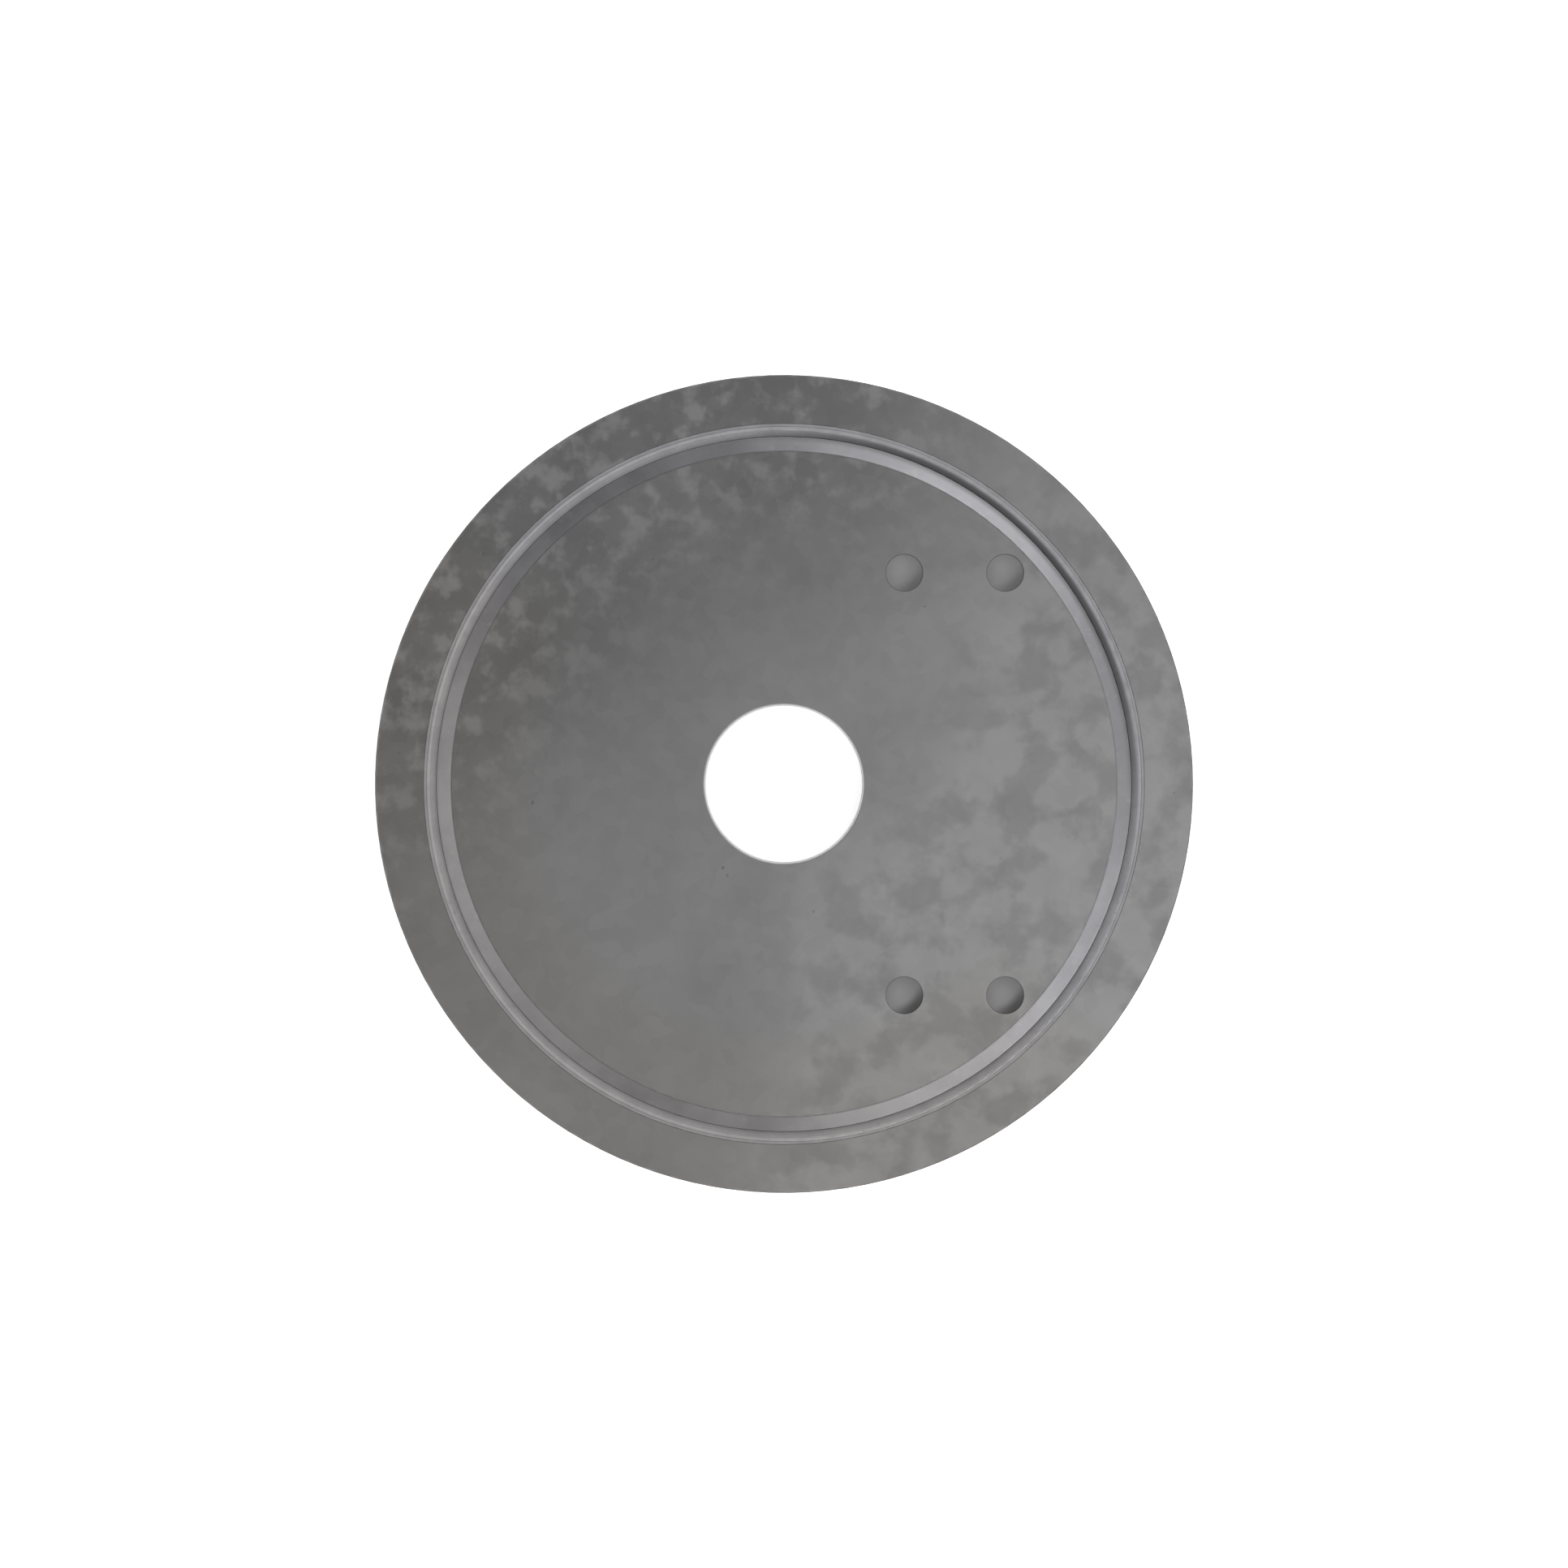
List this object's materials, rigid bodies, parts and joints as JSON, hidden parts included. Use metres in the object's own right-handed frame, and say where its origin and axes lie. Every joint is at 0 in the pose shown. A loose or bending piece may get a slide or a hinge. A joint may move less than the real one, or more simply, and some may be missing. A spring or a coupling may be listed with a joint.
{
  "type": "ported blind flange",
  "caption": "Round flat steel blind flange with a central port, a ringed seal groove in its face and shallow locating seats.",
  "frame": {"origin": "centre of the bore at the plate's back face", "axes": "+Z along the bore axis, out of the front face that holds the seal; +X from the bore towards the locating seats"},
  "size_m": [0.25, 0.25, 0.0166],
  "materials": {
    "galvanised_steel": "satin",
    "machined_steel": "satin",
    "seal_rubber": "satin"
  },
  "bodies": {
    "root": {"flange_plate": "galvanised_steel", "retaining_ring": "machined_steel", "seal_ring": "seal_rubber"}
  },
  "joints": []
}
